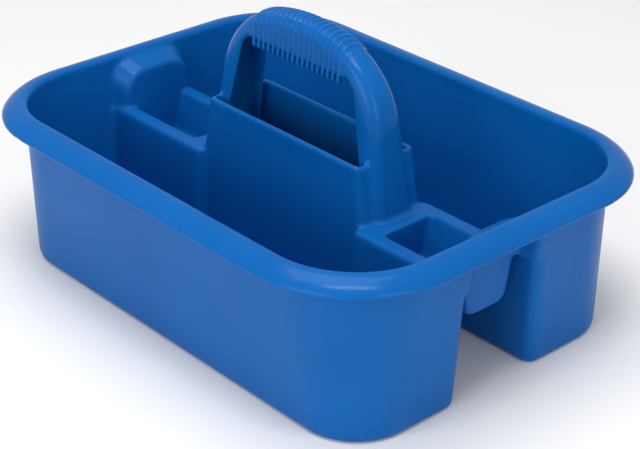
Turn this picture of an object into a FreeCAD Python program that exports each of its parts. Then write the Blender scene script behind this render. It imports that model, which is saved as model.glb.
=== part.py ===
"""Cleaning caddy: a two-bin moulded tub with a carrying handle, in millimetres.

X runs along the caddy, Y across it, +Z up.  The origin is the middle of the
underside.  The caddy is symmetrical about both upright middle planes, so each
half or quarter is made once and mirrored.
"""
import FreeCAD, Part
import math
import os

V = FreeCAD.Vector

# ---- overall size ----
LENGTH = 467.0            # over the rim
WIDTH = 352.0             # over the rim
HEIGHT = 234.0            # over the grip's ribs

# ---- moulding ----
WALL = 2.8                # skin thickness
FLOOR = 3.0

# ---- tub walls: half length, half width and plan corner radius, low and high ----
BASE = (209.0, 145.0, 48.0)
RIM_INSET = 19.4          # rim's outer edge to the wall's outer face
RIM_RADIUS = 91.0         # plan corner radius of the rim's outer edge
WALL_TOP_Z = 136.0
WALL_TOP = (LENGTH / 2 - RIM_INSET, WIDTH / 2 - RIM_INSET, RIM_RADIUS - RIM_INSET)
BASE_ROUND = 5.5          # rounding under the bins

# ---- rolled rim ----
CREST_Z = 143.4
CREST_INSET = 17.5
RIM_EDGE_Z = 130.5        # lower outer edge
RIM_SHOULDER_Z = 133.0
RIM_SKIN = 2.6
RIM_BULGE = 1.6           # how far the rim's slope bows outward from a straight line

# ---- middle structure between the bins ----
LAND_Z = 99.0             # rounded land beside the trays, and the ledge at the handle's foot
LAND_UNDER_Z = LAND_Z - WALL
LAND_HALF = 38.5          # land's outer edge
TUNNEL_TOP_HALF = LAND_HALF - WALL
TUNNEL_BASE_HALF = 39.7
DIVIDER_SKIN = 5.0        # thickness of the dividers above the land
SLOT_HALF_TOP = 25.4      # slot between the dividers, at their top
SLOT_HALF_LAND = 26.2
SLOT_HALF_BASE = 29.2
DIVIDER_TOP_Z = 146.0
BOX_END_TOP = 87.5        # |x| of the dividers' ends at their top
BOX_END_LAND = 95.5       # and at the land
BOX_ROUND = 4.5           # upright rounding of the dividers' ends
BAY_END = 91.5            # |x| where each bin steps towards the middle
STEP_ROUND = 5.0          # rounding of that step's upright corner
LAND_ROUND = 2.6          # rounding along the land's outer edge
MOUTH_ROUND = 9.0         # upright rounding at the tunnel's mouth

# ---- end trays ----
TRAY_START = 110.2        # |x| of the tray's inner end, outer face
TRAY_END = 197.0          # |x| of the tray's outer end, outer face
TRAY_BASE_Z = 62.0
TRAY_TOP_HALF = 28.0      # outer half width at the land
TRAY_BASE_HALF = 20.0
TRAY_ROUND = 9.0

# ---- arched recess in each end wall ----
ARCH_FACE_HALF = 33.0     # half width of the recess's inner face, inside the caddy
ARCH_FACE_TOP = 131.0
ARCH_ROOT_HALF = 38.2     # half width where it meets the end wall
ARCH_ROOT_TOP = 139.2
ARCH_ROUND = 21.0         # radius of the arch's upper corners

# ---- handle ----
HANDLE_FOOT = (101.0, 96.2)   # |x|, z of the outer face's foot
HANDLE_LEAN = 0.140           # radians from upright
SHOULDER_RADIUS = 70.0
CROWN_RADIUS = 158.0
LEG_HALF = 18.3               # half width at the dividers' top
CROWN_HALF = 12.0             # half width at the grip's top
HANDLE_ROUND = 10.5
HANDLE_SKIN = 3.0
GAP_FOOT_HALF = 86.0          # hand gap's half width at the land
GAP_LEAN = 0.222
GAP_TOP_Z = 204.5
GAP_ROUND = 16.0
GRIP_HALF = 52.0              # |x| where the ribbed grip meets the legs

RIB_COUNT = 18
RIB_PITCH = 5.7
RIB_WIDTH = 3.3
RIB_HEIGHT = 1.3
RIB_DROP = 6.5                # how far the ribs reach below the grip's edge
CROWN_Z = HEIGHT - RIB_HEIGHT # the grip's top between the ribs

FAR = 400.0                   # beyond every face, for cutting solids


def box(x0, x1, y0, y1, z0, z1):
    return Part.makeBox(x1 - x0, y1 - y0, z1 - z0, V(x0, y0, z0))


def mirror_x(shape):
    return shape.mirror(V(0, 0, 0), V(1, 0, 0))


def mirror_y(shape):
    return shape.mirror(V(0, 0, 0), V(0, 1, 0))


def blend(low, high, z0, z1, z):
    """The straight-line value at height z between low at z0 and high at z1."""
    return low + (high - low) * (z - z0) / (z1 - z0)


def polygon_face(points):
    return Part.Face(Part.makePolygon(points + [points[0]]))


def rounded_wire(half_x, half_y, radius, z):
    """A rounded rectangle about the Z axis."""
    edges = []
    centres = [(1, 1), (-1, 1), (-1, -1), (1, -1)]
    for index, (sx, sy) in enumerate(centres):
        centre = V(sx * (half_x - radius), sy * (half_y - radius), z)
        start = 90 * index
        arc = Part.makeCircle(radius, centre, V(0, 0, 1), start, start + 90)
        edges.append(arc)
    ends = [(edge.valueAt(edge.FirstParameter), edge.valueAt(edge.LastParameter)) for edge in edges]
    wire = []
    for index, edge in enumerate(edges):
        wire.append(edge)
        wire.append(Part.makeLine(ends[index][1], ends[(index + 1) % 4][0]))
    return Part.Wire(wire)


def tub_block(inset, z0, z1):
    """The tub's solid envelope between two heights, its walls moved in by inset."""
    wires = []
    for z in (z0, z1):
        half_x, half_y, radius = (blend(b, t, 0, WALL_TOP_Z, z) for b, t in zip(BASE, WALL_TOP))
        wires.append(rounded_wire(half_x - inset, half_y - inset, radius - inset, z))
    return Part.makeLoft(wires, True, True)


def slanted_prism(half_low, half_high, z0, z1, x0, x1):
    """A block along X whose half width changes in a straight line with height."""
    points = [V(x0, -half_low, z0), V(x0, half_low, z0), V(x0, half_high, z1), V(x0, -half_high, z1)]
    return polygon_face(points).extrude(V(x1 - x0, 0, 0))


def round_edges(shape, radius, chosen):
    edges = [edge for edge in shape.Edges if chosen(edge)]
    return shape.makeFillet(radius, edges)


def mouth_edge(edge):
    """The upright edges where the tunnel side of a bin meets its end walls."""
    middle = edge.CenterOfMass
    rises = abs(edge.BoundBox.ZLength) > LAND_Z / 2
    return rises and abs(middle.y) < TUNNEL_BASE_HALF + 2 * WALL and abs(middle.x) > TRAY_END


def bottom_edge(z):
    return lambda edge: edge.BoundBox.ZLength < 0.01 and abs(edge.CenterOfMass.z - z) < 0.01


def tunnel_half(z):
    return blend(TUNNEL_BASE_HALF, TUNNEL_TOP_HALF, 0, LAND_Z, z)


def slot_half(z):
    if z > LAND_UNDER_Z:
        return blend(SLOT_HALF_LAND, SLOT_HALF_TOP, LAND_UNDER_Z, DIVIDER_TOP_Z, z)
    return blend(SLOT_HALF_BASE, SLOT_HALF_LAND, 0, LAND_UNDER_Z, z)


def box_end(z):
    return blend(BOX_END_LAND, BOX_END_TOP, LAND_Z, DIVIDER_TOP_Z, z)


# ---- the two long bins ----
def bin_half_block(inset, z0):
    """One bin's block below the land, on the -Y side, straight along its inner side."""
    z1 = LAND_UNDER_Z
    block = tub_block(inset, z0, z1)
    block = block.cut(slanted_prism(tunnel_half(z0) + inset, tunnel_half(z1) + inset, z0, z1, -FAR, FAR))
    block = block.common(box(-FAR, FAR, -FAR, 0, z0, z1))
    block = round_edges(block, MOUTH_ROUND - inset, mouth_edge)
    return round_edges(block, BASE_ROUND - inset / 2, bottom_edge(z0))


def bin_bay(inset, slot_skin, z0):
    """The bin's step towards the middle, beside the handle."""
    z1 = LAND_UNDER_Z
    reach = BAY_END + WALL - inset
    overlap = 12.0
    bay = slanted_prism(tunnel_half(z0) + overlap, tunnel_half(z1) + overlap, z0, z1, -reach, reach)
    bay = bay.cut(slanted_prism(slot_half(z0) + inset, slot_half(z1) + slot_skin, z0, z1, -FAR, FAR))
    return bay.common(box(-FAR, FAR, -FAR, 0, z0, z1))


def right_step_corner(z0, z1):
    """What the bin's hollow gains where the step's upright corner is rounded off."""
    beyond = 1.0
    bend = STEP_ROUND * (1 - math.sqrt(0.5))
    wires = []
    for z in (z0, z1):
        side = -tunnel_half(z) - WALL
        points = [V(BAY_END, side + STEP_ROUND, z), V(BAY_END - beyond, side + STEP_ROUND, z),
                  V(BAY_END - beyond, side - beyond, z), V(BAY_END + STEP_ROUND, side - beyond, z),
                  V(BAY_END + STEP_ROUND, side, z)]
        arc = Part.Arc(points[-1], V(BAY_END + bend, side + bend, z), points[0]).toShape()
        wires.append(Part.Wire([arc] + [Part.makeLine(a, b) for a, b in zip(points, points[1:])]))
    return Part.makeLoft(wires, True, True)


def make_front_bin():
    shell = bin_half_block(0, 0).fuse(bin_bay(0, 0, 0))
    cavity = bin_half_block(WALL, FLOOR).fuse(bin_bay(WALL, DIVIDER_SKIN, FLOOR))
    corner = right_step_corner(FLOOR, LAND_UNDER_Z)
    cavity = cavity.fuse([corner, mirror_x(corner)])
    shell = shell.cut(cavity)
    wall = tub_block(0, LAND_UNDER_Z, WALL_TOP_Z).cut(tub_block(WALL, LAND_UNDER_Z, WALL_TOP_Z))
    wall = wall.common(box(-FAR, FAR, -FAR, -LAND_HALF, 0, FAR))
    return shell.fuse(wall).removeSplitter()


# ---- the rolled rim ----
def rim_section(outward, across, corner):
    """The rim's closed skin, in the upright plane through corner facing outward."""
    def at(inset, z):
        return corner + outward * (across - inset) + V(0, 0, z)

    def slope(skin):
        start = (CREST_INSET, CREST_Z - skin)
        end = (skin, RIM_SHOULDER_Z - skin * 0.4)
        middle = ((start[0] + end[0]) / 2 - RIM_BULGE, (start[1] + end[1]) / 2 + RIM_BULGE)
        return Part.Arc(at(*start), at(*middle), at(*end)).toShape()

    inner = RIM_INSET + WALL
    shoulder = CREST_Z - 4.2
    turn = ((inner + CREST_INSET) / 2 + 1.2, (shoulder + CREST_Z) / 2 + 1.0)
    over = Part.Arc(at(inner, shoulder), at(*turn), at(CREST_INSET, CREST_Z)).toShape()
    outer = slope(0)
    under = slope(RIM_SKIN)
    wall_join = at(RIM_INSET, CREST_Z - RIM_SKIN - 1.6)
    edges = [
        Part.makeLine(at(inner, WALL_TOP_Z), at(inner, shoulder)),
        over,
        outer,
        Part.makeLine(outer.Vertexes[1].Point, at(0, RIM_EDGE_Z)),
        Part.makeLine(at(0, RIM_EDGE_Z), at(RIM_SKIN, RIM_EDGE_Z)),
        Part.makeLine(at(RIM_SKIN, RIM_EDGE_Z), under.Vertexes[1].Point),
        under,
        Part.makeLine(under.Vertexes[0].Point, wall_join),
        Part.makeLine(wall_join, at(RIM_INSET, WALL_TOP_Z)),
        Part.makeLine(at(RIM_INSET, WALL_TOP_Z), at(inner, WALL_TOP_Z)),
    ]
    return Part.Face(Part.Wire(Part.__sortEdges__(edges)))


def make_rim():
    half_x = LENGTH / 2 - RIM_RADIUS
    half_y = WIDTH / 2 - RIM_RADIUS
    pieces = []
    for sx, sy in ((1, 1), (-1, 1), (-1, -1), (1, -1)):
        corner = V(sx * half_x, sy * half_y, 0)
        section = rim_section(V(sx, 0, 0), RIM_RADIUS, corner)
        turn = 90 * sx * sy
        pieces.append(section.revolve(corner, V(0, 0, 1), turn))
    for sx in (1, -1):
        section = rim_section(V(sx, 0, 0), RIM_RADIUS, V(sx * half_x, -half_y, 0))
        pieces.append(section.extrude(V(0, 2 * half_y, 0)))
    for sy in (1, -1):
        section = rim_section(V(0, sy, 0), RIM_RADIUS, V(-half_x, sy * half_y, 0))
        pieces.append(section.extrude(V(2 * half_x, 0, 0)))
    rim = pieces[0]
    for piece in pieces[1:]:
        rim = rim.fuse(piece)
    return rim.removeSplitter()


# ---- the dividers each side of the slot ----
def slot_prism(extra):
    """The slot between the dividers, running along X, grown across by extra."""
    return slanted_prism(slot_half(LAND_UNDER_Z) + extra, slot_half(DIVIDER_TOP_Z) + extra,
                         LAND_UNDER_Z, DIVIDER_TOP_Z, -FAR, FAR)


def between_box_ends(inset):
    """The space between the sloping ends of the middle box, moved in by inset."""
    low = box_end(LAND_UNDER_Z) - inset
    high = box_end(DIVIDER_TOP_Z) - inset
    points = [V(-low, -FAR, LAND_UNDER_Z), V(low, -FAR, LAND_UNDER_Z),
              V(high, -FAR, DIVIDER_TOP_Z), V(-high, -FAR, DIVIDER_TOP_Z)]
    return polygon_face(points).extrude(V(0, 2 * FAR, 0))


def make_front_divider():
    plates = slot_prism(DIVIDER_SKIN).cut(slot_prism(0)).common(between_box_ends(0))
    plate = plates.common(box(-FAR, FAR, -FAR, 0, 0, FAR))
    return round_edges(plate, BOX_ROUND, lambda edge: edge.BoundBox.ZLength > 20
                       and abs(edge.CenterOfMass.y) > SLOT_HALF_LAND + WALL)


# ---- handle ----
def tangent_profile(inset):
    """The handle's outer outline in the XZ plane, moved in by inset: its named points."""
    along = V(-math.sin(HANDLE_LEAN), 0, math.cos(HANDLE_LEAN))
    inward = V(-math.cos(HANDLE_LEAN), 0, -math.sin(HANDLE_LEAN))
    foot = V(HANDLE_FOOT[0], 0, HANDLE_FOOT[1])
    crown_centre = V(0, 0, CROWN_Z - CROWN_RADIUS)
    offset = foot + inward * SHOULDER_RADIUS - crown_centre
    reach = CROWN_RADIUS - SHOULDER_RADIUS
    half = offset.dot(along)
    rise = -half + math.sqrt(half * half - offset.dot(offset) + reach * reach)
    shoulder_centre = foot + along * rise + inward * SHOULDER_RADIUS
    outward = (shoulder_centre - crown_centre).normalize()
    shoulder = SHOULDER_RADIUS - inset
    crown = CROWN_RADIUS - inset
    bisector = (outward - inward).normalize()
    return {
        "low": foot + inward * inset - along * 40,
        "shoulder_start": shoulder_centre - inward * shoulder,
        "shoulder_middle": shoulder_centre + bisector * shoulder,
        "shoulder_end": shoulder_centre + outward * shoulder,
        "top": crown_centre + V(0, 0, crown),
    }


def flip(point):
    return V(-point.x, point.y, point.z)


def handle_envelope(inset):
    """The handle's solid outer form, filled in between its legs and moved in by inset."""
    p = tangent_profile(inset)
    edges = [
        Part.makeLine(p["low"], p["shoulder_start"]),
        Part.Arc(p["shoulder_start"], p["shoulder_middle"], p["shoulder_end"]).toShape(),
        Part.Arc(p["shoulder_end"], p["top"], flip(p["shoulder_end"])).toShape(),
        Part.Arc(flip(p["shoulder_end"]), flip(p["shoulder_middle"]), flip(p["shoulder_start"])).toShape(),
        Part.makeLine(flip(p["shoulder_start"]), flip(p["low"])),
        Part.makeLine(flip(p["low"]), p["low"]),
    ]
    arch = Part.Face(Part.Wire(edges))
    arch.translate(V(0, -FAR, 0))
    arch = arch.extrude(V(0, 2 * FAR, 0))

    def half(z):
        return blend(LEG_HALF, CROWN_HALF, DIVIDER_TOP_Z, CROWN_Z, z) - inset
    taper = slanted_prism(half(0), half(HEIGHT), 0, HEIGHT, -FAR, FAR)
    block = arch.common(taper)

    def outer_edge(edge):
        middle = edge.CenterOfMass
        box_size = edge.BoundBox
        return abs(middle.y) > 1 and not (box_size.ZLength < 0.01 and middle.z < LAND_Z)
    return round_edges(block, HANDLE_ROUND - inset, outer_edge)


def hand_gap(top_z):
    """The space inside the handle's arch, cut right through across the caddy."""
    foot = V(GAP_FOOT_HALF, 0, LAND_UNDER_Z)
    low = foot + V(math.sin(GAP_LEAN), 0, -math.cos(GAP_LEAN)) * 60
    top = V(foot.x - (top_z - foot.z) * math.tan(GAP_LEAN), 0, top_z)
    face = polygon_face([V(low.x, -FAR, low.z), V(top.x, -FAR, top.z),
                         V(-top.x, -FAR, top.z), V(-low.x, -FAR, low.z)])
    block = face.extrude(V(0, 2 * FAR, 0))
    return round_edges(block, GAP_ROUND, lambda edge: abs(edge.CenterOfMass.z - top_z) < 0.01
                       and abs(edge.CenterOfMass.x) > 10)


def make_handle():
    """The open-sided channel that arches over the slot, with its ribbed grip."""
    envelope = handle_envelope(0)
    hollow = handle_envelope(HANDLE_SKIN)
    channel = envelope.cut(hollow).cut(hand_gap(GAP_TOP_Z))
    proud = handle_envelope(-RIB_HEIGHT).cut(hollow).cut(hand_gap(GAP_TOP_Z - RIB_DROP))
    slabs = []
    for index in range(RIB_COUNT):
        middle = (index - (RIB_COUNT - 1) / 2) * RIB_PITCH
        slabs.append(box(middle - RIB_WIDTH / 2, middle + RIB_WIDTH / 2, -FAR, FAR, 0, FAR))
    ribs = proud.common(Part.makeCompound(slabs))
    grip_zone = box(-GRIP_HALF, GRIP_HALF, -FAR, FAR, LAND_UNDER_Z, FAR)
    grip = channel.common(grip_zone).fuse(ribs.Solids).removeSplitter()
    leg = channel.common(box(GRIP_HALF, FAR, -FAR, FAR, LAND_UNDER_Z, FAR))
    return grip, leg


def outer_land_edge(edge):
    """The land's top edges over a bin."""
    span = edge.BoundBox
    return span.ZLength < 0.01 and abs(span.ZMax - LAND_Z) < 0.01 and abs(abs(span.Center.y) - LAND_HALF) < 0.01


# ---- saddle: the ledge at the handle's foot, and the box end behind the leg ----
def make_right_saddle():
    end_plate = slot_prism(0).common(between_box_ends(0)).cut(between_box_ends(WALL))
    end_plate = end_plate.common(box(0, FAR, -FAR, FAR, 0, FAR))
    ledge = box(box_end(LAND_UNDER_Z), TRAY_START, -LAND_HALF, LAND_HALF, LAND_UNDER_Z, LAND_Z)
    beside = box(BAY_END, box_end(LAND_UNDER_Z), -LAND_HALF, LAND_HALF, LAND_UNDER_Z, LAND_Z)
    shelf = ledge.fuse(beside).removeSplitter()
    shelf = round_edges(shelf, STEP_ROUND, lambda edge: edge.BoundBox.ZLength > 1
                        and abs(edge.CenterOfMass.x - BAY_END) < 0.01)
    shelf = round_edges(shelf, LAND_ROUND, outer_land_edge)
    divider_foot = slot_prism(DIVIDER_SKIN).cut(slot_prism(0)).common(between_box_ends(0))
    saddle = shelf.cut(divider_foot).fuse(end_plate)
    return saddle.cut(handle_envelope(0)).removeSplitter()


# ---- end trays ----
def trough_block(inset, z1):
    """The trough's solid form with rounded lower corners, moved in by inset."""
    half_at_land = TRAY_TOP_HALF - inset
    half_at_base = TRAY_BASE_HALF - inset
    z0 = TRAY_BASE_Z + inset
    half_at_top = blend(half_at_base, half_at_land, z0, LAND_Z, z1)
    block = slanted_prism(half_at_base, half_at_top, z0, z1, TRAY_START + inset, TRAY_END - inset)
    return round_edges(block, TRAY_ROUND - inset, lambda edge: edge.BoundBox.XLength > 20
                       and abs(edge.CenterOfMass.z - z0) < 0.01)


def make_right_tray():
    trough = trough_block(0, LAND_Z)
    lands = box(TRAY_START, FAR, -LAND_HALF, LAND_HALF, LAND_UNDER_Z, LAND_Z)
    lands = lands.common(tub_block(0, LAND_UNDER_Z, LAND_Z))
    lands = round_edges(lands, LAND_ROUND, outer_land_edge)
    tray = trough.fuse(lands).cut(trough_block(WALL, LAND_Z + WALL))
    return tray.cut(arch_recess(WALL)).removeSplitter()


# ---- arched recess in the end wall ----
def arch_wire(x, half, top, foot_z):
    """An arch-topped outline in the plane at x."""
    radius = ARCH_ROUND
    bend = radius * math.sqrt(0.5)
    shoulder = top - radius
    inner = half - radius
    edges = [
        Part.makeLine(V(x, -half, foot_z), V(x, -half, shoulder)),
        Part.Arc(V(x, -half, shoulder), V(x, -inner - bend, shoulder + bend), V(x, -inner, top)).toShape(),
        Part.makeLine(V(x, -inner, top), V(x, inner, top)),
        Part.Arc(V(x, inner, top), V(x, inner + bend, shoulder + bend), V(x, half, shoulder)).toShape(),
        Part.makeLine(V(x, half, shoulder), V(x, half, foot_z)),
        Part.makeLine(V(x, half, foot_z), V(x, -half, foot_z)),
    ]
    return Part.Wire(edges)


def arch_recess(inset):
    """The recess's solid form: the inside face with inset 0, the outside face with inset WALL."""
    face_x = TRAY_END - WALL + inset
    root_x = WALL_TOP[0] - WALL + inset
    foot_z = LAND_Z - 20
    face = arch_wire(face_x, ARCH_FACE_HALF - inset, ARCH_FACE_TOP - inset, foot_z)
    root = arch_wire(root_x, ARCH_ROOT_HALF - inset, ARCH_ROOT_TOP - inset, foot_z)
    beyond = arch_wire(FAR, ARCH_ROOT_HALF - inset, ARCH_ROOT_TOP - inset, foot_z)
    taper = Part.makeLoft([face, root], True, True)
    straight = Part.makeLoft([root, beyond], True, True)
    return taper.fuse(straight)


def make_right_arch():
    zone = box(0, FAR, -LAND_HALF, LAND_HALF, LAND_Z, FAR)
    wall = tub_block(0, LAND_Z, WALL_TOP_Z).cut(tub_block(WALL, LAND_Z, WALL_TOP_Z)).common(zone)
    hood = arch_recess(0).common(box(0, WALL_TOP[0] - WALL, -FAR, FAR, LAND_Z, FAR))
    arch = wall.fuse(hood).cut(arch_recess(WALL))
    return arch.removeSplitter()


def single(name, shape):
    """The one solid that the node holds."""
    solids = sorted(shape.Solids, key=lambda solid: solid.Volume)
    print(name, "solids", len(solids), "valid", shape.isValid(), "volume", round(shape.Volume / 1000, 2))
    return solids[-1]


def main():
    os.makedirs("parts", exist_ok=True)
    front_bin = make_front_bin()
    front_divider = make_front_divider()
    grip, right_leg = make_handle()
    right_saddle = make_right_saddle()
    right_tray = make_right_tray()
    right_arch = make_right_arch()
    nodes = {
        "front_bin": front_bin,
        "rear_bin": mirror_y(front_bin),
        "rim": make_rim(),
        "front_divider": front_divider,
        "rear_divider": mirror_y(front_divider),
        "handle_grip": grip,
        "right_handle_leg": right_leg,
        "left_handle_leg": mirror_x(right_leg),
        "right_saddle": right_saddle,
        "left_saddle": mirror_x(right_saddle),
        "right_tray": right_tray,
        "left_tray": mirror_x(right_tray),
        "right_end_arch": right_arch,
        "left_end_arch": mirror_x(right_arch),
    }
    for name, shape in nodes.items():
        single(name, shape).exportStep(os.path.join("parts", name + ".step"))


main()
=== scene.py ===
import math

import bmesh
import bpy
import numpy as np
from mathutils import Matrix, Vector


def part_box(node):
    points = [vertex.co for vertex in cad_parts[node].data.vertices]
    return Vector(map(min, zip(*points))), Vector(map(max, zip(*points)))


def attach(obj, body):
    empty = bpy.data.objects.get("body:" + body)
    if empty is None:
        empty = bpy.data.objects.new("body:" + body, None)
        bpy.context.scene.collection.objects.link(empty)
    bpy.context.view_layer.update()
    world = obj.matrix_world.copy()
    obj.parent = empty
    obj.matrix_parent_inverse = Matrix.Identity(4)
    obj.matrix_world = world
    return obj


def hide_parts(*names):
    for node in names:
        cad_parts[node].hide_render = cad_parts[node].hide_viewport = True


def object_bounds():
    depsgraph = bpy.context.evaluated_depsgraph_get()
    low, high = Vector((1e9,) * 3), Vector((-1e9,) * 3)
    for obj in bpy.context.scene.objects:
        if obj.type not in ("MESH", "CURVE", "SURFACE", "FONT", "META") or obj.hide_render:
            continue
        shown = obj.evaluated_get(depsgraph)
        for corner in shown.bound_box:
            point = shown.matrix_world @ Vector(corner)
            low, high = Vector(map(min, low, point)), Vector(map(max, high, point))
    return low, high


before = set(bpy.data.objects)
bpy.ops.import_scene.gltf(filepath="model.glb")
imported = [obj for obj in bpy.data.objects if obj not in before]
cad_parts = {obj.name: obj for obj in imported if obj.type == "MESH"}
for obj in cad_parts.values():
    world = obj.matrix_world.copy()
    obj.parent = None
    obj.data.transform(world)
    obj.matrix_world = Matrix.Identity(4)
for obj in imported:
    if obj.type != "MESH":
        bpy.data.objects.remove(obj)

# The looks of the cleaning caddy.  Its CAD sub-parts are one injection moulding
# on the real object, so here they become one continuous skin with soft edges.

cad_low, cad_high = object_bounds()
MM = 0.001

# ---- camera ----
AZIMUTH = 47.564          # degrees round from the front
ELEVATION = 28.235
ROLL = 0.596
DISTANCE = 1.35807        # metres
TARGET = Vector((0.05718, -0.03901, 0.090))
SENSOR_WIDTH = 36
FOCAL_LENGTH = 99.47      # on that sensor
CLIP_END = 50

# ---- surroundings ----
SURROUND_STRENGTH = 0.5
FLOOR_HALF = 6.0          # half the floor's side
FLOOR_COLOUR = (0.92, 0.92, 0.92, 1)
FLOOR_ROUGHNESS = 0.9

# ---- plastic ----
IOR = 1.49
SPECULAR_LEVEL = 0.14
PIGMENT_DARK = (0.0015, 0.105, 0.380)
PIGMENT_LIGHT = (0.0030, 0.118, 0.415)
RUBBED_COLOUR = (0.06, 0.20, 0.56)
RUBBED_SHARE = 0.35       # how far a fully rubbed edge goes towards that colour
RUBBED_ROUGHNESS = 0.5
WALL_TOP = 118 * MM       # the walls' finish ends here
RIM_FINISH = 134 * MM     # the rim's and handle's finish is complete here
WALL_ROUGHNESS = 0.36
RIM_ROUGHNESS = 0.20
GRAIN = {"scale": 900.0, "detail": 2.0, "strength": 0.10, "distance": 0.2 * MM}
WAVES = {"scale": 22.0, "detail": 1.0, "strength": 0.25, "distance": 1.2 * MM}

# ---- moulding mesh ----
WELD = 0.002 * MM
OVERLAP = 0.06 * MM       # sub-parts grow by this, so that the skin closes across their joints
SMOOTH_SHARE = 0.5        # part of the way to its neighbours' middle that a vertex moves each step
BODY_SKIN = {"voxel": 1.0 * MM, "steps": 26, "cap": 1.3 * MM, "faces": 190_000}
GRIP_SKIN = {"voxel": 0.5 * MM, "steps": 12, "cap": 0.3 * MM, "faces": 120_000}
GRIP_REACH = 3.0 * MM     # how far the finer grip runs past its ribs, on to the legs
GRIP_DEPTH = 45.0 * MM    # the body is cut only within this depth below the grip's top
BELOW_ALL = -1.0          # a height under the whole object


def camera():
    """The camera at the picture's viewing angle."""
    azimuth, elevation, roll = (math.radians(a) for a in (AZIMUTH, ELEVATION, ROLL))
    back = Vector((math.sin(azimuth) * math.cos(elevation),
                   -math.cos(azimuth) * math.cos(elevation),
                   math.sin(elevation)))
    level = Vector((0, 0, 1)).cross(back).normalized()
    upright = back.cross(level)
    right = math.cos(roll) * level + math.sin(roll) * upright
    up = -math.sin(roll) * level + math.cos(roll) * upright
    data = bpy.data.cameras.new("camera")
    data.sensor_width = SENSOR_WIDTH
    data.lens = FOCAL_LENGTH
    data.clip_end = CLIP_END
    view = bpy.data.objects.new("camera", data)
    view.matrix_world = Matrix.Translation(TARGET + back * DISTANCE) @ Matrix(
        (right, up, back)).transposed().to_4x4()
    bpy.context.scene.collection.objects.link(view)
    bpy.context.scene.camera = view


def area_light(name, place, aim, size, watts):
    """A rectangular white light at a place, turned towards its aim."""
    data = bpy.data.lights.new(name, "AREA")
    data.shape = "RECTANGLE"
    data.size, data.size_y = size
    data.energy = watts
    light = bpy.data.objects.new(name, data)
    turn = (Vector(aim) - Vector(place)).to_track_quat("-Z", "Y")
    light.matrix_world = Matrix.Translation(place) @ turn.to_matrix().to_4x4()
    bpy.context.scene.collection.objects.link(light)


def lighting():
    """Soft studio light: boxes overhead, in front and at the right, a thin strip and an even surround."""
    area_light("overhead", (-0.2, -0.1, 1.8), (0, 0, 0.1), (1.2, 1.2), 13)
    area_light("front", (0.35, -2.0, 0.9), (0, 0, 0.08), (1.4, 1.0), 12.5)
    area_light("right", (2.0, -0.3, 0.9), (0, 0, 0.08), (1.0, 1.0), 7)
    area_light("strip", (0.48, -0.44, 1.79), (0.1, -0.1, 0.1), (0.8, 0.06), 8)
    world = bpy.data.worlds.new("surround")
    world.use_nodes = True
    background = world.node_tree.nodes["Background"]
    background.inputs["Color"].default_value = (1.0, 1.0, 1.0, 1)
    background.inputs["Strength"].default_value = SURROUND_STRENGTH
    bpy.context.scene.world = world
    bpy.context.scene.view_settings.view_transform = "Standard"


def floor():
    """A plain pale floor that runs out of view."""
    data = bpy.data.meshes.new("floor")
    corners = [(x * FLOOR_HALF, y * FLOOR_HALF, 0) for x, y in ((-1, -1), (1, -1), (1, 1), (-1, 1))]
    data.from_pydata(corners, [], [(0, 1, 2, 3)])
    plane = bpy.data.objects.new("floor", data)
    bpy.context.scene.collection.objects.link(plane)
    material = bpy.data.materials.new("pale_floor")
    material.use_nodes = True
    shader = material.node_tree.nodes["Principled BSDF"]
    shader.inputs["Base Color"].default_value = FLOOR_COLOUR
    shader.inputs["Roughness"].default_value = FLOOR_ROUGHNESS
    data.materials.append(material)


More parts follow.
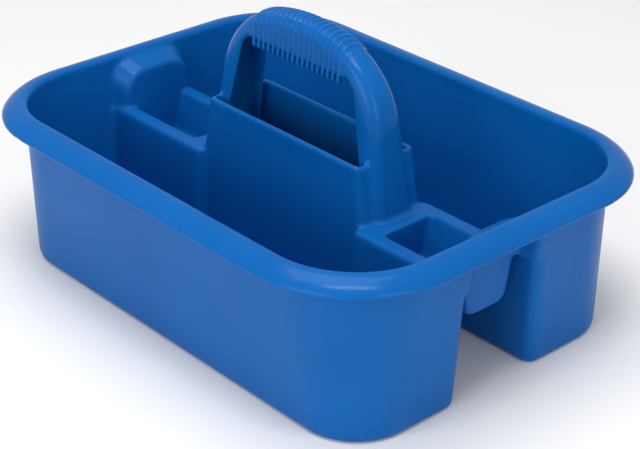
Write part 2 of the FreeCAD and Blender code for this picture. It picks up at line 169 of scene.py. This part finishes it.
# ---- material ----
def caddy_plastic():
    """Blue moulded plastic: glossy on the rim and grip, faintly grained on the walls, rubbed at edges."""
    material = bpy.data.materials.new("caddy_plastic")
    material.use_nodes = True
    nodes = material.node_tree.nodes
    links = material.node_tree.links
    shader = nodes["Principled BSDF"]
    shader.inputs["IOR"].default_value = IOR
    shader.inputs["Specular IOR Level"].default_value = SPECULAR_LEVEL

    place = nodes.new("ShaderNodeTexCoord").outputs["Object"]

    def noise(scale, detail=2.0, roughness=0.5):
        node = nodes.new("ShaderNodeTexNoise")
        node.inputs["Scale"].default_value = scale
        node.inputs["Detail"].default_value = detail
        node.inputs["Roughness"].default_value = roughness
        links.new(place, node.inputs["Vector"])
        return node.outputs["Fac"]

    def span(value, low, high, to_low, to_high):
        node = nodes.new("ShaderNodeMapRange")
        for name, number in zip(("From Min", "From Max", "To Min", "To Max"), (low, high, to_low, to_high)):
            node.inputs[name].default_value = number
        links.new(value, node.inputs["Value"])
        return node.outputs["Result"]

    def combine(operation, first, second):
        node = nodes.new("ShaderNodeMath")
        node.operation = operation
        for socket, value in zip(node.inputs, (first, second)):
            if isinstance(value, float):
                socket.default_value = value
            else:
                links.new(value, socket)
        return node.outputs["Value"]

    def mix(share, first, second):
        node = nodes.new("ShaderNodeMix")
        node.data_type = "RGBA"
        colours = [socket for socket in node.inputs if socket.type == "RGBA"]
        links.new(share, node.inputs["Factor"])
        for socket, value in zip(colours, (first, second)):
            if isinstance(value, tuple):
                socket.default_value = (*value, 1)
            else:
                links.new(value, socket)
        return next(socket for socket in node.outputs if socket.type == "RGBA")

    def bump(texture, over=None):
        node = nodes.new("ShaderNodeBump")
        node.inputs["Strength"].default_value = texture["strength"]
        node.inputs["Distance"].default_value = texture["distance"]
        links.new(noise(texture["scale"], texture["detail"]), node.inputs["Height"])
        if over is not None:
            links.new(over, node.inputs["Normal"])
        return node.outputs["Normal"]

    # pigment: slow, faint swirls left by the flow of the plastic
    swirl = span(noise(9.0, 3.0, 0.55), 0.35, 0.65, 0.0, 1.0)
    pigment = mix(swirl, PIGMENT_DARK, PIGMENT_LIGHT)

    # edges rubbed pale where hands and shelves touch them
    geometry = nodes.new("ShaderNodeNewGeometry")
    edge = span(geometry.outputs["Pointiness"], 0.53, 0.60, 0.0, 1.0)
    patches = span(noise(60.0, 4.0, 0.65), 0.45, 0.70, 0.0, 1.0)
    rubbed = combine("MULTIPLY", combine("MULTIPLY", edge, patches), RUBBED_SHARE)
    links.new(mix(rubbed, pigment, RUBBED_COLOUR), shader.inputs["Base Color"])

    # roughness: glossier high up, on the rim and handle, than on the walls below
    height = nodes.new("ShaderNodeSeparateXYZ")
    links.new(place, height.inputs["Vector"])
    base = span(height.outputs["Z"], WALL_TOP, RIM_FINISH, WALL_ROUGHNESS, RIM_ROUGHNESS)
    smudges = span(noise(28.0, 3.0, 0.6), 0.3, 0.7, -0.035, 0.05)
    worn = combine("MULTIPLY", rubbed, RUBBED_ROUGHNESS)
    roughness = combine("ADD", combine("ADD", base, smudges), worn)
    links.new(roughness, shader.inputs["Roughness"])

    # surface: slow waviness over faint mould grain
    links.new(bump(WAVES, over=bump(GRAIN)), shader.inputs["Normal"])
    return material


# ---- moulding ----
def joined_copy(names):
    """One mesh holding welded copies of the named CAD nodes, each grown slightly so that they overlap."""
    points, faces, start = [], [], 0
    for name in names:
        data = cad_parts[name].data.copy()
        welded = evaluated(data, "WELD", merge_threshold=WELD)
        normal = np.zeros(len(welded.vertices) * 3)
        welded.vertices.foreach_get("normal", normal)
        points.append(vertex_array(welded) + OVERLAP * normal.reshape(-1, 3))
        faces += [tuple(v + start for v in polygon.vertices) for polygon in welded.polygons]
        start += len(welded.vertices)
    mesh = bpy.data.meshes.new("joined")
    mesh.from_pydata(np.concatenate(points), [], faces)
    return mesh


def evaluated(mesh, kind, **settings):
    """The mesh after one modifier."""
    holder = bpy.data.objects.new("holder", mesh)
    bpy.context.scene.collection.objects.link(holder)
    modifier = holder.modifiers.new("step", kind)
    for name, value in settings.items():
        setattr(modifier, name, value)
    depsgraph = bpy.context.evaluated_depsgraph_get()
    result = bpy.data.meshes.new_from_object(holder.evaluated_get(depsgraph))
    bpy.data.objects.remove(holder)
    return result


def vertex_array(mesh):
    """The mesh's vertices, one row each."""
    co = np.zeros(len(mesh.vertices) * 3)
    mesh.vertices.foreach_get("co", co)
    return co.reshape(-1, 3)


def move_vertices(mesh, co):
    mesh.vertices.foreach_set("co", co.ravel())
    mesh.update()


def soften(mesh, steps, cap):
    """Rounds every edge: each vertex drifts to the middle of its neighbours, within a cap."""
    co = vertex_array(mesh)
    pairs = np.zeros(len(mesh.edges) * 2, np.int64)
    mesh.edges.foreach_get("vertices", pairs)
    a, b = pairs.reshape(-1, 2).T
    count = np.bincount(a, minlength=len(co)) + np.bincount(b, minlength=len(co))
    start = co.copy()
    for _ in range(steps):
        for axis in range(3):
            total = np.bincount(a, co[b, axis], len(co)) + np.bincount(b, co[a, axis], len(co))
            co[:, axis] += SMOOTH_SHARE * (total / count - co[:, axis])
        drift = co - start
        length = np.linalg.norm(drift, axis=1)
        over = length > cap
        co[over] = start[over] + drift[over] * (cap / length[over])[:, None]
    move_vertices(mesh, co)


def split_handle(mesh, edge, above, keep_grip):
    """Cuts what is above a height at x = -edge and x = edge, and keeps only the grip or all but the grip."""
    cut = bmesh.new()
    cut.from_mesh(mesh)
    for x in (-edge, edge):
        high = [face for face in cut.faces if face.calc_center_median().z > above]
        around = set(high)
        for face in high:
            around.update(face.edges, face.verts)
        bmesh.ops.bisect_plane(cut, geom=list(around), plane_co=(x, 0, 0), plane_no=(1, 0, 0))
    unwanted = []
    for face in cut.faces:
        middle = face.calc_center_median()
        if middle.z > above and (abs(middle.x) > edge) == keep_grip:
            unwanted.append(face)
    bmesh.ops.delete(cut, geom=unwanted, context="FACES")
    cut.to_mesh(mesh)
    cut.free()


def moulded_skin(names, voxel, steps, cap, faces):
    """One continuous soft-edged skin over the named CAD nodes, held inside the CAD box."""
    mesh = joined_copy(names)
    mesh = evaluated(mesh, "REMESH", mode="VOXEL", voxel_size=voxel, adaptivity=0)
    soften(mesh, steps, cap)
    triangles = 2 * len(mesh.polygons)
    if triangles > faces:
        mesh = evaluated(mesh, "DECIMATE", ratio=faces / triangles)
    move_vertices(mesh, np.clip(vertex_array(mesh), list(cad_low), list(cad_high)))
    return mesh


def show(name, mesh, material, replaced):
    """Puts a mesh on the root body as a piece, in place of the CAD nodes it replaces."""
    mesh.validate()
    mesh.shade_smooth()
    mesh.materials.clear()
    mesh.materials.append(material)
    piece = bpy.data.objects.new(name, mesh)
    bpy.context.scene.collection.objects.link(piece)
    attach(piece, "root")
    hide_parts(*replaced)


def make_moulding(material):
    """The moulding in two pieces that meet on a plane each side: the body, and the finely ribbed grip."""
    everything = sorted(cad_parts)
    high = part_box("handle_grip")[1]
    edge = high.x + GRIP_REACH
    body = moulded_skin(everything, **BODY_SKIN)
    split_handle(body, edge, high.z - GRIP_DEPTH, keep_grip=False)
    show("caddy_body", body, material, [name for name in everything if name != "handle_grip"])
    grip = moulded_skin(["handle_grip", "left_handle_leg", "right_handle_leg"], **GRIP_SKIN)
    split_handle(grip, edge, BELOW_ALL, keep_grip=True)
    show("caddy_grip", grip, material, ["handle_grip"])


camera()
lighting()
floor()
plastic = caddy_plastic()
make_moulding(plastic)
